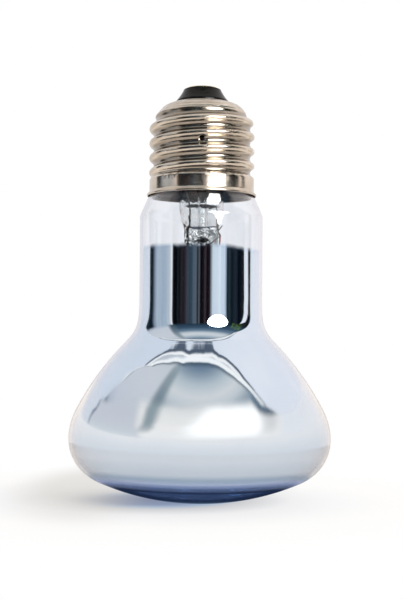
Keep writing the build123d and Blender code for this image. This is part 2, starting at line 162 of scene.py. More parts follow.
def smooth_path(points, per_span=8):
    """Catmull-Rom curve through the points."""
    pts = [Vector(p) for p in points]
    pts = [2 * pts[0] - pts[1]] + pts + [2 * pts[-1] - pts[-2]]
    out = []
    for i in range(1, len(pts) - 2):
        a, b, c, d = pts[i - 1:i + 3]
        for k in range(per_span):
            t = k / per_span
            out.append(0.5 * ((2 * b) + (c - a) * t + (2 * a - 5 * b + 4 * c - d) * t * t
                              + (3 * b - a - 3 * c + d) * t ** 3))
    out.append(pts[-2])
    return out


def tube(name, path, radius, sides=12):
    """Round wire with closed ends along a path in mm."""
    verts, faces, rings = [], [], []
    tangent = (path[1] - path[0]).normalized()
    up = Vector((0, 1, 0)) if abs(tangent.y) < 0.9 else Vector((1, 0, 0))
    side = tangent.cross(up).normalized()
    for i, p in enumerate(path):
        t = (path[min(i + 1, len(path) - 1)] - path[max(i - 1, 0)]).normalized()
        side = (side - t * side.dot(t)).normalized()
        other = t.cross(side)
        rings.append(list(range(len(verts), len(verts) + sides)))
        for k in range(sides):
            a = 2 * pi * k / sides
            verts.append(p + side * (radius * cos(a)) + other * (radius * sin(a)))
    for low, high in zip(rings, rings[1:]):
        faces += ring_faces(low, high)
    return finish_mesh(name, verts, faces + [tuple(rings[0][::-1]), tuple(rings[-1])], 50.0)


# node helpers
FILM_TINT = (0.673, 0.8, 0.96)      # how the glass and the film colour a reflection


class Val:
    """Output of a shader node. Arithmetic on it adds math nodes."""

    def __init__(self, tree, socket):
        self.tree, self.socket = tree, socket

    def calc(self, operation, other=0.0, clamp=False):
        return put(self.tree, "ShaderNodeMath", {0: self, 1: other}, operation=operation, use_clamp=clamp)

    def __add__(self, other):
        return self.calc("ADD", other)

    def __sub__(self, other):
        return self.calc("SUBTRACT", other)

    def __mul__(self, other):
        return self.calc("MULTIPLY", other)

    def __abs__(self):
        return self.calc("ABSOLUTE")

    def span(self, low, high, to_low=0.0, to_high=1.0, kind="SMOOTHSTEP"):
        """Goes from to_low, where the value is low, to to_high, where it is high."""
        ends = {"Value": self, "From Min": low, "From Max": high, "To Min": to_low, "To Max": to_high}
        return put(self.tree, "ShaderNodeMapRange", ends, "Result", interpolation_type=kind)

    def ramp(self, stops, low=0.0, high=1.0):
        """Colour or grey by value, from (value, colour) stops between low and high."""
        part = self if (low, high) == (0.0, 1.0) else self.span(low, high, kind="LINEAR")
        out = put(self.tree, "ShaderNodeValToRGB", {"Fac": part}, "Color")
        elements = out.socket.node.color_ramp.elements
        elements.remove(elements[0])
        for i, (at, value) in enumerate(stops):
            at = (at - low) / (high - low)
            element = elements[0] if i == 0 else elements.new(at)
            element.position = at
            element.color = (*value, 1.0) if isinstance(value, tuple) else (value, value, value, 1.0)
        return out


def put(tree, kind, inputs=None, output=0, **settings):
    """Adds a node and gives one of its outputs. Inputs are outputs of other nodes, numbers or colours."""
    node = tree.nodes.new(kind)
    for key, value in settings.items():
        setattr(node, key, value)
    for key, value in (inputs or {}).items():
        if isinstance(value, Val):
            tree.links.new(value.socket, node.inputs[key])
        else:
            node.inputs[key].default_value = value
    return Val(tree, node.outputs[output])


def split(vector):
    return [Val(vector.tree, part) for part in
            put(vector.tree, "ShaderNodeSeparateXYZ", {0: vector}).socket.node.outputs]


def hypot(a, b):
    return (a * a + b * b).calc("SQRT")


def full(color):
    return (*color, 1.0) if isinstance(color, tuple) and len(color) == 3 else color


def mix(factor, a, b, kind="MIX"):
    tree = next(v.tree for v in (factor, a, b) if isinstance(v, Val))
    return put(tree, "ShaderNodeMix", {0: factor, 6: full(a), 7: full(b)}, 2, data_type="RGBA", blend_type=kind)


def spots(vector, scale, detail=3.0, roughness=0.5, distortion=0.0):
    return put(vector.tree, "ShaderNodeTexNoise", {
        "Vector": vector, "Scale": scale, "Detail": detail, "Roughness": roughness, "Distortion": distortion})


def ray(tree, name):
    return put(tree, "ShaderNodeLightPath", output=name)


def seen(r, g, b):
    """Linear colour that shows as a displayed 0-255 colour in the blue mirror."""
    shown = (r / 255, g / 255, b / 255)
    linear = (c / 12.92 if c <= 0.04045 else ((c + 0.055) / 1.055) ** 2.4 for c in shown)
    return tuple(c / t for c, t in zip(linear, FILM_TINT))


def material(name, **values):
    mat = bpy.data.materials.new(name)
    mat.use_nodes = True
    shader = mat.node_tree.nodes["Principled BSDF"]
    for key, value in values.items():
        shader.inputs[key.replace("_", " ")].default_value = value
    return mat, shader, put(mat.node_tree, "ShaderNodeTexCoord", output="Object")


def feed(shader, **values):
    for key, value in values.items():
        value.tree.links.new(value.socket, shader.inputs[key.replace("_", " ")])


def bump(shader, height, distance, strength=1.0, under=None):
    values = {"Height": height, "Distance": distance, "Strength": strength}
    if under:
        values["Normal"] = under
    feed(shader, Normal=put(height.tree, "ShaderNodeBump", values))


def dress(obj, mat, slot, *nodes):
    obj.data.materials.clear()
    obj.data.materials.append(mat)
    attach(obj, "root")
    if nodes:
        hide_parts(*nodes)
    return obj


# glass outline
def glass_points(inset, lowest=-pi / 2, neck_top=None):
    """(r, z) points of the blown glass moved in by inset, from the face up."""
    edge_r = BULB_R - EDGE_R
    edge_z = FACE_R - sqrt((FACE_R - EDGE_R) ** 2 - edge_r ** 2)
    face_turn = atan2(edge_z - FACE_R, edge_r)
    belly = (BULB_R - BELLY_R, edge_z)
    flank = (belly[0] + (BELLY_R - FLANK_R) * cos(BELLY_TURN), belly[1] + (BELLY_R - FLANK_R) * sin(BELLY_TURN))
    flank_end = (flank[0] + FLANK_R * cos(FLANK_TURN), flank[1] + FLANK_R * sin(FLANK_TURN))
    waist_r = NECK_R + WAIST_R
    slope = (flank_end[0] - waist_r + WAIST_R * cos(FLANK_TURN)) / sin(FLANK_TURN)
    waist_z = flank_end[1] + slope * cos(FLANK_TURN) + WAIST_R * sin(FLANK_TURN)
    waist = [(waist_r - (WAIST_R + inset) * cos(t), waist_z - (WAIST_R + inset) * sin(t))
             for t in (FLANK_TURN * (1 - k / 22) for k in range(23))]
    points = []
    if lowest < face_turn:
        points += arc((0, FACE_R), FACE_R - inset, lowest, face_turn, 1.1)
    points += arc((edge_r, edge_z), EDGE_R - inset, max(lowest, face_turn), 0, 2.2)
    points += arc(belly, BELLY_R - inset, 0, BELLY_TURN, 1.6)
    points += arc(flank, FLANK_R - inset, BELLY_TURN, FLANK_TURN, 0.8)
    points += line(points[-1], waist[0], 0.7) + waist
    points += line(points[-1], (NECK_R - inset, points[-1][1] + 3.0), 0.3)
    points = [(r + FADE * fall(((z - FADE_Z) / FADE_SPAN) ** 2), z) for r, z in points]
    if neck_top is not None:
        return tidy(points + line(points[-1], (NECK_R - inset, neck_top), 0.8))
    shoulder_r = NECK_R - SHOULDER_R + SHOULDER_R * cos(SHOULDER_TURN)
    hollow_r = SEAL_R + SEAL_HOLLOW
    rise = (shoulder_r - hollow_r + SEAL_HOLLOW * cos(SHOULDER_TURN)) / tan(SHOULDER_TURN)
    hollow_z = SHOULDER_Z + (SHOULDER_R + SEAL_HOLLOW) * sin(SHOULDER_TURN) + rise
    # the blown shoulder starts with a quick roll, then leans in straight to the cap rim
    points += line(points[-1], (NECK_R - inset, ROLL_Z), 1.2)
    points += arc((NECK_R - ROLL_QUICK, ROLL_Z), ROLL_QUICK - inset, 0, ROLL_TURN, 1.5)
    change = ROLL_SLOW - ROLL_QUICK
    turned = (NECK_R - ROLL_QUICK - change * cos(ROLL_TURN), ROLL_Z - change * sin(ROLL_TURN))
    points += arc(turned, ROLL_SLOW - inset, ROLL_TURN, ROLL_LEAN, 1.0)
    foot_r, foot_z = points[-1]
    points += line(points[-1], (foot_r - 3.1 * tan(ROLL_LEAN), foot_z + 3.1), 0.8)
    reach = SEAL_HOLLOW + inset
    bend = [(hollow_r - reach * cos(t), hollow_z - reach * sin(t))
            for t in (SHOULDER_TURN * (1 - k / 8) for k in range(9))]
    under_rim = (12.25 - inset * cos(SHOULDER_TURN), 76.25 - inset * sin(SHOULDER_TURN))
    points += line(points[-1], under_rim, 0.3) + line(under_rim, bend[0], 1.0) + bend
    return tidy(points + line(points[-1], (SEAL_R - inset, SEAL_Z), 1.0))


# materials
def make_blue_glass():
    pale = (0.995, 0.997, 1.0, 1.0)
    mat, shader, coords = material("blue_glass", Base_Color=pale, Transmission_Weight=1.0, IOR=1.5,
                                   Roughness=0.0)
    bump(shader, spots(coords, 45.0, 2.0, 0.4), 0.00002, 0.35)
    # the clear face below the mirror film is tinted a deeper blue, painted shade that darkens the band along
    # its lower edge
    face = split(coords)[2].span(0.0076, 0.0072)
    smear = spots(coords, 240.0, 5.0, 0.65).span(0.45, 0.8, 0.0, 0.02)
    feed(shader, Base_Color=mix(face, pale, (0.5, 0.63, 0.86)), Roughness=smear)
    tree = mat.node_tree
    inner = put(tree, "ShaderNodeVolumeAbsorption", {"Color": (0.0, 0.22, 0.62, 1.0), "Density": 85.0})
    tree.links.new(inner.socket, tree.nodes["Material Output"].inputs["Volume"])
    return mat


def make_stem_glass():
    pale = (0.975, 0.985, 0.985, 1.0)
    mat, shader, coords = material("stem_glass", Base_Color=pale, Transmission_Weight=1.0, IOR=1.54,
                                   Roughness=0.0)
    bump(shader, spots(coords, 420.0, 3.0, 0.5), 0.00016, 0.7)
    seeds = spots(coords, 900.0, 4.0, 0.6).span(0.5, 0.85, 0.0, 0.03)
    # painted shade: the folds of the press are darkened, and the blow hole, which looks black through the
    # glass, is painted black
    x, y, z = split(coords)
    folds = spots(coords, 520.0, 2.0, 0.6, 1.6)
    painted_fold_shade = folds.span(0.46, 0.5) * folds.span(0.62, 0.56) * z.span(0.0676, 0.0662) * z.span(0.0621, 0.0626)
    across, up = (x - 0.0004) * 660.0, (z - 0.0641) * 1700.0
    painted_black_hole = (across * across + up * up).span(1.15, 0.8) * y.calc("LESS_THAN", 0.0)
    color = mix(painted_black_hole, mix(painted_fold_shade, pale, (0.12, 0.15, 0.15)), (0.004, 0.005, 0.005))
    feed(shader, Base_Color=color, Roughness=seeds)
    return mat


def make_mirror_film():
    """Bright aluminium film: sharp on the neck, hazier low on the bulb, thinning out at its upper edge."""
    mat, shader, coords = material("mirror_film", Metallic=1.0)
    x, _, z = split(coords)
    cloud = spots(coords, 60.0, 4.0, 0.55)
    color = cloud.ramp([(0.3, (0.748, 0.857, 0.955)), (0.7, (0.786, 0.886, 0.974))])
    haze = (z + cloud * 0.004).span(0.026, 0.034, 0.1, 0.025)
    bump(shader, spots(coords, 38.0, 2.0, 0.5), 0.00003, 0.4)
    ragged = (spots(coords, 420.0, 3.0, 0.6) - 0.5) * 0.0006
    level = z + ragged + x.span(0.004, 0.013, 0.0, 0.0007)
    feed(shader, Base_Color=color, Roughness=haze, Alpha=level.span(0.0611, 0.0628, 1.0, 0.0))
    return mat


def make_nickel():
    mat, shader, coords = material("nickel", Metallic=1.0)
    tree = mat.node_tree
    x, y, z = split(coords)
    cloud = spots(coords, 120.0, 5.0, 0.6)
    color = cloud.ramp([(0.3, (0.54, 0.475, 0.39)), (0.55, (0.68, 0.61, 0.52)), (0.8, (0.78, 0.715, 0.635))])
    rub = spots(put(tree, "ShaderNodeMapping", {"Vector": coords, "Scale": (1.0, 1.0, 9.0)}), 420.0, 4.0, 0.6)
    # dark specks on the front side where the last valley runs into the skirt
    specks = spots(coords, 1500.0, 4.0, 0.7).span(0.44, 0.6)
    front_dark_specks = z.span(0.0776, 0.0788) * z.span(0.0802, 0.0793) * specks * y.span(-0.007, -0.0105)
    color = mix(front_dark_specks * 0.85, color, (0.07, 0.055, 0.045))
    # painted shade: darker in the valleys of the thread; brown inside the shell
    out = hypot(x, y)
    painted_valley_shade = out.span(0.0126, 0.0121) * z.span(0.079, 0.08) * z.span(0.0955, 0.0945)
    color = mix(painted_valley_shade * 0.5, color, (0.09, 0.072, 0.055))
    inside = put(tree, "ShaderNodeAttribute", output="Fac", attribute_name="inside")
    rough = cloud.span(0.25, 0.8, 0.24, 0.13) + rub.span(0.45, 0.8, 0.0, 0.1) + inside * 0.4
    feed(shader, Base_Color=mix(inside, color, (0.07, 0.05, 0.035)), Roughness=rough)
    # spinning rings on the dome
    rings = ((z - out * 0.6) * (2 * pi / 0.0011)).calc("SINE") * z.span(0.0944, 0.0956)
    spun = put(tree, "ShaderNodeBump", {"Height": rings, "Distance": 0.00006, "Strength": 0.8})
    bump(shader, rub, 0.00001, 0.6, spun)
    return mat


def make_black_glass():
    mat, shader, coords = material("black_glass", IOR=1.44, Specular_IOR_Level=0.18)
    cloud = spots(coords, 350.0, 4.0, 0.6)
    color = cloud.ramp([(0.35, (0.003, 0.003, 0.003)), (0.75, (0.011, 0.011, 0.01))])
    feed(shader, Base_Color=color, Roughness=cloud.span(0.3, 0.8, 0.1, 0.24))
    bump(shader, spots(coords, 180.0, 3.0, 0.5), 0.00012, 0.5)
    return mat


def make_metal(name, low, high, roughness, scale=600.0, grain=0.00002):
    mat, shader, coords = material(name, Metallic=1.0)
    cloud = spots(coords, scale, 5.0, 0.65)
    rough = cloud.span(0.2, 0.8, roughness + 0.12, roughness - 0.05)
    feed(shader, Base_Color=cloud.ramp([(0.3, low), (0.7, high)]), Roughness=rough)
    bump(shader, cloud, grain, 0.6)
    return mat


def make_cement():
    mat, shader, coords = material("cement", Roughness=0.85)
    color = spots(coords, 160.0, 6.0, 0.65).ramp([
        (0.3, (0.04, 0.024, 0.019)), (0.48, (0.07, 0.04, 0.031)), (0.58, (0.19, 0.06, 0.038)),
        (0.72, (0.12, 0.1, 0.088))])
    grit = spots(coords, 1400.0, 3.0, 0.7)
    feed(shader, Base_Color=mix(grit.span(0.55, 0.75, 0.0, 0.3), color, (0.12, 0.1, 0.09)))
    bump(shader, grit, 0.0001, 0.8)
    return mat


def make_copper_wire():
    """Copper clad wire: pink on the right low down, almost black elsewhere."""
    mat, shader, coords = material("copper_wire", Metallic=0.6)
    cloud = spots(coords, 1500.0, 5.0, 0.65)
    pink = cloud.ramp([(0.3, (0.5, 0.1, 0.13)), (0.7, (0.72, 0.24, 0.26))])
    near_black = cloud.ramp([(0.3, (0.02, 0.018, 0.018)), (0.7, (0.08, 0.06, 0.055))])
    x, _, z = split(coords)
    pink_part = x.span(0.0, 0.001) * z.span(0.0668, 0.0655)
    feed(shader, Base_Color=mix(pink_part, near_black, pink), Roughness=cloud.span(0.2, 0.8, 0.5, 0.3))
    bump(shader, cloud, 0.00002, 0.6)
    return mat


blue_glass = make_blue_glass()
stem_glass = make_stem_glass()
mirror_film = make_mirror_film()
nickel = make_nickel()
black_glass = make_black_glass()
cement = make_cement()
brass = make_metal("contact_brass", (0.5, 0.36, 0.14), (0.78, 0.6, 0.29), 0.25)
solder = make_metal("solder", (0.42, 0.42, 0.43), (0.68, 0.68, 0.69), 0.34, 900.0, 0.00006)
nickel_wire = make_metal("nickel_wire", (0.1, 0.095, 0.09), (0.3, 0.29, 0.28), 0.35, 1500.0)
copper_wire = make_copper_wire()
moly_wire = make_metal("molybdenum_wire", (0.05, 0.05, 0.055), (0.2, 0.2, 0.21), 0.4, 1500.0)
tungsten = make_metal("tungsten", (0.07, 0.07, 0.075), (0.2, 0.2, 0.21), 0.42, 2500.0)


# glass and mirror
lip = [(SEAL_R - WALL * (0.5 - 0.5 * cos(pi * k / 6)), SEAL_Z) for k in range(1, 6)]
dress(lathe("bulb_glass", glass_points(0.0) + lip + glass_points(WALL)[::-1], 256), blue_glass, "blue_glass",
      "glass_envelope")

film_back = glass_points(WALL + FILM_GAP, FILM_LOW, FILM_TOP)
film_front = glass_points(WALL + FILM_GAP + FILM, FILM_LOW, FILM_TOP)
dress(lathe("mirror_film", film_back + film_front[::-1], 256, loop=True), mirror_film, "mirror_film",
      "mirror_coating")


# cap shell
flank_sine = PITCH / (2 * (CREST_ROUND + ROOT_ROUND))
THREAD_DEPTH = (CREST_ROUND + ROOT_ROUND) * (1 - sqrt(1 - flank_sine ** 2))
VALLEY_R = CREST_R - THREAD_DEPTH


def thread_profile(height, inset):
    along = abs(height)
    if along <= (CREST_ROUND - inset) * flank_sine:
        return CREST_R - CREST_ROUND + sqrt((CREST_ROUND - inset) ** 2 - along ** 2)
    root = ROOT_ROUND + inset
    return VALLEY_R + ROOT_ROUND - sqrt(root ** 2 - (PITCH / 2 - along) ** 2)


def run_in(z):
    return ease((z - RUN_IN[0]) / (RUN_IN[1] - RUN_IN[0]))


def shell_base(z, inset):
    bend = BEND_R - inset
    up = z - BEND_Z
    if up <= 0:
        return SKIRT_R + (CREST_R - SKIRT_R) * run_in(z) - inset
    if up <= bend * sin(BEND_TURN):
        return CREST_R - BEND_R + sqrt(bend ** 2 - up ** 2)
    return CREST_R - BEND_R + bend * cos(BEND_TURN) - (up - bend * sin(BEND_TURN)) * tan(BEND_TURN)


def shell_point(angle, z, inset):
    """Point of the shell with its helical crest and the dimple around the punched hole."""
    turns = (z - CREST_Z) / PITCH - (angle + pi / 2) / (2 * pi)
    height = (turns - round(turns)) * PITCH
    fade = run_in(z) * ease((RUN_OUT[1] - z) / (RUN_OUT[1] - RUN_OUT[0]))
    r = shell_base(z, inset) - fade * (CREST_R - inset - thread_profile(height, inset))
    away = sqrt(((angle + pi / 2) * VALLEY_R) ** 2 + (z - PUNCH_Z) ** 2)
    if away < 2.0:
        r -= DIMPLE * min(1.0, fall((away - PUNCH_R) / DIMPLE_SPAN))
    return (r * cos(angle), r * sin(angle), z)


def dome_points(inset, collar_r, step):
    """Rounding of the dome and the straight run up to the collar."""
    bend_z = DOME_Z + (SHEET + MOULD_GAP) * sin(BEND_TURN)
    centre = (shell_base(bend_z, 0) - DOME_R * cos(BEND_TURN), bend_z - DOME_R * sin(BEND_TURN))
    bent = arc(centre, DOME_R - inset, BEND_TURN, DOME_TURN, step)
    r, z = bent[-1]
    return bent + line(bent[-1], (collar_r, z + (r - collar_r) / tan(DOME_TURN)), 0.5)[1:]


def make_screw_shell():
    columns, step, half_c, half_r = 256, 0.0937, 4, 12
    angles = [-pi / 2 + 2 * pi * k / columns for k in range(columns)]
    low = int((PUNCH_Z - THREAD_Z) / step)
    high = int((DOME_Z - PUNCH_Z) / step)
    outer_z = [THREAD_Z] + [PUNCH_Z + k * step for k in range(-low, high + 1)] + [DOME_Z]
    window = [PUNCH_Z + k * step for k in range(-half_r, half_r + 1)]
    inner_z = (steps(20, THREAD_Z, window[0])[:-1] + window + steps(18, window[-1], DOME_Z)[1:])[::-1]
    verts, rows, faces = [], [], []

    def ring(point):
        rows.append([len(verts) + k for k in range(columns)])
        verts.extend(point(a) for a in angles)

    def turned(points):
        for r, z in points:
            ring(lambda a: (r * cos(a), r * sin(a), z))

    def threaded(heights, inset):
        """Rings of the thread. Gives the row at the height of the punched hole."""
        middle = len(rows) + heights.index(window[half_r])
        for z in heights:
            ring(lambda a: shell_point(a - 2 * pi if a > pi / 2 else a, z, inset))
        return middle

    flare = (SKIRT_R + FLARE_R, FLARE_Z)
    turns = steps(8, 0.0, -FLARE_TURN)
    outside = [(flare[0] - FLARE_R * cos(t), flare[1] + FLARE_R * sin(t)) for t in turns]
    inside = [(flare[0] - (FLARE_R + SHEET) * cos(t), flare[1] + (FLARE_R + SHEET) * sin(t)) for t in turns]
    lip_top = outside[-1][1] - 0.2
    rim = [(RIM_R - 0.1, outside[-1][1] - 0.09), (RIM_R - 0.02, lip_top), (RIM_R, lip_top - 0.12),
           (RIM_R, RIM_Z + 0.1), (RIM_R - 0.03, RIM_Z + 0.03), (RIM_R - 0.1, RIM_Z),
           (inside[-1][0] + 0.04, RIM_Z)]
    turned(rim[::-1] + outside[::-1] + line((SKIRT_R, FLARE_Z + 0.3), (SKIRT_R, THREAD_Z - 0.2), 0.3))
    outer_mid = threaded(outer_z, 0.0)
    turned(dome_points(0.0, COLLAR_R, 3.0))
    inner_verts = len(verts)
    turned(dome_points(SHEET, COLLAR_R, 3.0)[::-1])
    inner_mid = threaded(inner_z, SHEET)
    turned([(SKIRT_R - SHEET, THREAD_Z - 0.2), (SKIRT_R - SHEET, FLARE_Z + 0.2)] + inside)

    for i, row in enumerate(rows):
        quads = ring_faces(row, rows[(i + 1) % len(rows)])
        in_window = any(mid - half_r <= i < mid + half_r for mid in (outer_mid, inner_mid))
        faces += quads[half_c:columns - half_c] if in_window else quads

    def patch(mid, sense, inset):
        """Fills the window around the punched hole with rings that end on its edge."""
        border = [(c, -half_r) for c in range(-half_c, half_c)] + [(half_c, r) for r in range(-half_r, half_r)]
        border += [(c, half_r) for c in range(half_c, -half_c, -1)]
        border += [(-half_c, r) for r in range(half_r, -half_r, -1)]
        rings = [[rows[mid + sense * r][c % columns] for c, r in border]]
        for t in (0.25, 0.5, 0.72, 0.88, 1.0):
            rings.append(list(range(len(verts), len(verts) + len(border))))
            for c, r in border:
                u, w = c * 2 * pi / columns * VALLEY_R, r * step
                goal = PUNCH_R / sqrt(u * u + w * w)
                uu, ww = u + (u * goal - u) * t, w + (w * goal - w) * t
                verts.append(shell_point(-pi / 2 + uu / VALLEY_R, PUNCH_Z + ww, inset))
        for a, b in zip(rings, rings[1:]):
            faces.extend(ring_faces(a, b))
        return rings[-1]

    patch_verts = len(verts)
    edge_out = patch(outer_mid, 1, 0.0)
    back_verts = len(verts)
    edge_in = patch(inner_mid, -1, SHEET)
    faces += ring_faces(edge_out, edge_in)
    shell = finish_mesh("cap_shell", verts, faces, 50.0)
    mark = shell.data.attributes.new("inside", "FLOAT", "POINT")
    for i, value in enumerate(mark.data):
        value.value = 1.0 if inner_verts <= i < patch_verts or i >= back_verts else 0.0
    return shell


dress(make_screw_shell(), nickel, "nickel", "screw_shell")


# insulator and contact
def make_insulator():
    neck_r, neck_z, top_r, edge, bore = COLLAR_R - MOULD_GAP, 98.6, 4.75, 0.35, 0.9
    dome = dome_points(SHEET + MOULD_GAP, neck_r, 5.0)
    points = [(bore, INSULATOR_LOW)] + line((7.4, INSULATOR_LOW), dome[0], 0.6) + dome
    points += line(dome[-1], (neck_r, neck_z), 0.4)
    points += arc3((neck_r, neck_z), ((neck_r + top_r) / 2 - 0.1, 99.92), (top_r, INSULATOR_TOP - edge), 16)
    points += arc((top_r - edge, INSULATOR_TOP - edge), edge, 0, pi / 2, 15.0)
    points += [(RECESS_R + 0.05, INSULATOR_TOP), (RECESS_R, INSULATOR_TOP - 0.05), (RECESS_R, RECESS_Z),
               (bore, RECESS_Z), (bore, INSULATOR_LOW)]
    return lathe("insulator", points, 160, loop=True, sharp=40.0)


dress(make_insulator(), black_glass, "black_glass", "insulator")
plate = [(0.5, RECESS_Z), (4.1, RECESS_Z), (4.1, PLATE_TOP - 0.15), (4.06, PLATE_TOP - 0.06),
         (3.95, PLATE_TOP), (2.7, PLATE_TOP), (2.55, PLATE_TOP - 0.05), (2.4, PLATE_TOP), (0.5, PLATE_TOP)]
dress(lathe("contact_plate_disc", plate, 128, loop=True), brass, "contact_brass", "contact_plate")


def make_contact_solder():
    wide, tall = 1.7, 0.5
    ball = (wide ** 2 + tall ** 2) / (2 * tall)
    drop = [(ball * sin(t), PLATE_TOP + tall - ball * (1 - cos(t))) for t in steps(12, 0.0, asin(wide / ball))]

    def lumpy(v):
        sink = -0.08 * abs(noise.noise(v * 1.1)) if v.z > PLATE_TOP + 0.01 else 0
        return Vector((v.x, v.y, 0)) * (0.04 * noise.noise(v * 1.7)) + Vector((0, 0, sink))

    return lathe("contact_solder_dome", drop + [(0, PLATE_TOP)], 96, shift=lumpy)


dress(make_contact_solder(), solder, "solder", "contact_solder")


# cement
def make_cement_ring():
    start_r = NECK_R - SHOULDER_R + SHOULDER_R * cos(SHOULDER_TURN)
    start_z = SHOULDER_Z + SHOULDER_R * sin(SHOULDER_TURN)

    def slope(z):
        return start_r - (z - start_z) * tan(SHOULDER_TURN) + 0.05 / cos(SHOULDER_TURN)

    foot, top, outer, inner = 76.3, 82.0, 12.54, SEAL_R + 0.05
    lean_in = start_r - SEAL_R - SEAL_HOLLOW + SEAL_HOLLOW * cos(SHOULDER_TURN)
    hollow_z = start_z + lean_in / tan(SHOULDER_TURN)
    first = (slope(foot), foot + 0.1)
    points = line(first, (12.5, foot + 0.1), 0.12) + line((outer, foot + 0.25), (outer, THREAD_Z), 0.5)
    points += [(11.5, THREAD_Z), (11.5, top), (inner, top), (inner, hollow_z + 1.5),
               (slope(hollow_z), hollow_z), first]

    def rough(v):
        if v.z > foot + 0.2:
            return Vector((0, 0, 0))
        return Vector((0, 0, 0.45 * (noise.noise(v * 0.9) * 0.5 + 0.5) + 0.2 * noise.noise(v * 3.1)))

    return lathe("cement_ring", points, 256, loop=True, shift=rough)


dress(make_cement_ring(), cement, "cement", "cap_cement")


# glass stem
def section(half_width, half_depth, square, count):
    """Ring of a superellipse: square 2 is an ellipse, higher is boxier."""
    out = []
    for k in range(count):
        a = 2 * pi * k / count
        c, s = cos(a), sin(a)
        out.append((half_width * abs(c) ** (2 / square) * (1 if c >= 0 else -1),
                    half_depth * abs(s) ** (2 / square) * (1 if s >= 0 else -1)))
    return out


def blend_rows(keys, step):
    """Rows (half width, half depth, squareness, z) between a few keys, eased where a key ends with 1."""
    rows = []
    for a, b in zip(keys, keys[1:]):
        count = max(1, ceil(abs(b[3] - a[3]) / step))
        for k in range(count):
            t = k / count
            e = ease(t) if b[4] else t
            rows.append(tuple(a[i] + (b[i] - a[i]) * (t if i == 3 else e) for i in range(4)))
    rows.append(keys[-1][:4])
    return rows


def make_stem():
    count = 144
    rolled = [(10.4, 84.3), (10.55, 84.2), (10.55, 83.6), (10.4, 83.5)]
    rolled += arc3((9.85, 83.5), (6.59, 80.9), (5.5, 77.0), 24)[:-1]
    outer = [(r, r, 2.0, z) for r, z in rolled]
    outer += blend_rows([(5.5, 5.5, 2.0, 77.0, 0), (5.5, 5.5, 2.0, 72.5, 0), (5.1, 3.9, 2.0, 69.6, 1),
                         (4.35, 1.85, 2.4, 67.3, 1), (4.2, 1.5, 3.6, 65.8, 1), (4.2, 1.5, 3.6, 62.8, 0)], 0.14)
    outer += [(4.1, 1.42, 3.2, 62.55), (3.85, 1.2, 3.0, 62.38), (3.2, 0.8, 2.6, 62.3)]
    inner = [(r, r, 2.0, z) for r, z in arc3((9.0, 84.3), (5.78, 81.4), (4.7, 77.0), 24)[:-1]]
    inner += blend_rows([(4.7, 4.7, 2.0, 77.0, 0), (4.7, 4.7, 2.0, 72.5, 0), (4.3, 3.05, 2.0, 69.6, 1),
                         (3.5, 1.3, 2.2, 67.6, 1)], 0.3)
    inner += [(3.1, 1.1, 2.0, 67.25), (2.2, 0.75, 2.0, 67.05)]
    verts, faces = [], []

    def skin(rows):
        rings = []
        for a, b, q, z in rows:
            rings.append(list(range(len(verts), len(verts) + count)))
            for x, y in section(a, b, q, count):
                v = Vector((x, y, z))
                pinch = ease((69.0 - z) / 3.0)
                lump = noise.noise(v * 0.9 + Vector((3, 1, 7))) * 0.26 + noise.noise(v * 1.9) * 0.14
                v.y += lump * pinch * (1 if y > 0 else -1) * min(1, abs(y))
                v.x += noise.noise(v * 0.7) * 0.16 * pinch
                if y < 0 and rows is outer:
                    # the blow hole with its raised edge
                    away = (x / 1.5) ** 2 + ((z - 64.2) / 0.72) ** 2
                    v.y += max(0.0, 1 - away) ** 0.5 - 0.16 * max(0.0, 1 - abs(away ** 0.5 - 1.25) / 0.3)
                verts.append(v)
        for p, q in zip(rings, rings[1:]):
            faces.extend(ring_faces(p, q))
        return rings[0], rings[-1]

    (out_first, out_last), (in_first, in_last) = skin(outer), skin(inner)
    faces += ring_faces(in_first, out_first)
    for ids, z in ((out_last, 62.3), (in_last, 67.0)):
        faces += ring_faces(ids, [len(verts)])
        verts.append(Vector((0, 0, z)))
    return finish_mesh("glass_stem", verts, faces, 60.0)


dress(make_stem(), stem_glass, "stem_glass", "stem_flare")


def make_exhaust():
    """Thin tube that leans aside a little below the cap, with a round closed tip."""
    tip = EXHAUST_TOP - EXHAUST_R
    outside, bore = ([(r * cos(t), tip + r * sin(t)) for t in steps(8, 0.0, pi / 2)[:-1]] + [(0, tip + r)]
                     for r in (EXHAUST_R, EXHAUST_BORE))
    outside = line((EXHAUST_R, EXHAUST_LOW), (EXHAUST_R, tip), 0.8) + outside
    bore = line((EXHAUST_BORE, EXHAUST_LOW + 0.1), (EXHAUST_BORE, tip), 0.8) + bore
    return lathe("exhaust_tube_glass", outside[::-1] + [(EXHAUST_BORE, EXHAUST_LOW)] + bore, 48,
                 shift=lambda v: Vector((0.35 * ease((79 - v.z) / 10), 0, 0)))


dress(make_exhaust(), stem_glass, "stem_glass", "exhaust_tube")


# wires
def wire(name, points, radius, mat, slot, node):
    return dress(tube(name, smooth_path(points), radius), mat, slot, node)


wire("seal_wire_left", [(-2.95, 0, 70.2), (-2.85, 0, 69.0), (-3.05, 0, 67.6), (-3.3, 0, 66.0), (-3.2, 0, 64.0),
                        (-3.1, 0, 61.9)], 0.25, copper_wire, "copper_wire", "lead_seal_left")
wire("seal_wire_right", [(3.85, 0, 70.0), (3.9, -0.1, 68.0), (4.1, -0.4, 66.4), (4.6, -0.7, 65.2),
                         (4.6, -0.7, 63.5), (4.45, -0.5, 61.9)],
     0.2, copper_wire, "copper_wire", "lead_seal_right")
wire("contact_lead", [(-2.85, 0, 69.0), (-2.8, 0, 70.3), (-2.95, 0, 72.2), (-3.3, 0, 74.5), (-3.95, 0, 76.8),
                      (-3.9, 0, 80.0), (-3.3, 0, 84.0), (-2.1, 0, 90.5), (0, 0, 95.2), (0, 0, 98.0),
                      (0, 0, PLATE_TOP)], 0.22, nickel_wire, "nickel_wire", "lead_outer_contact")
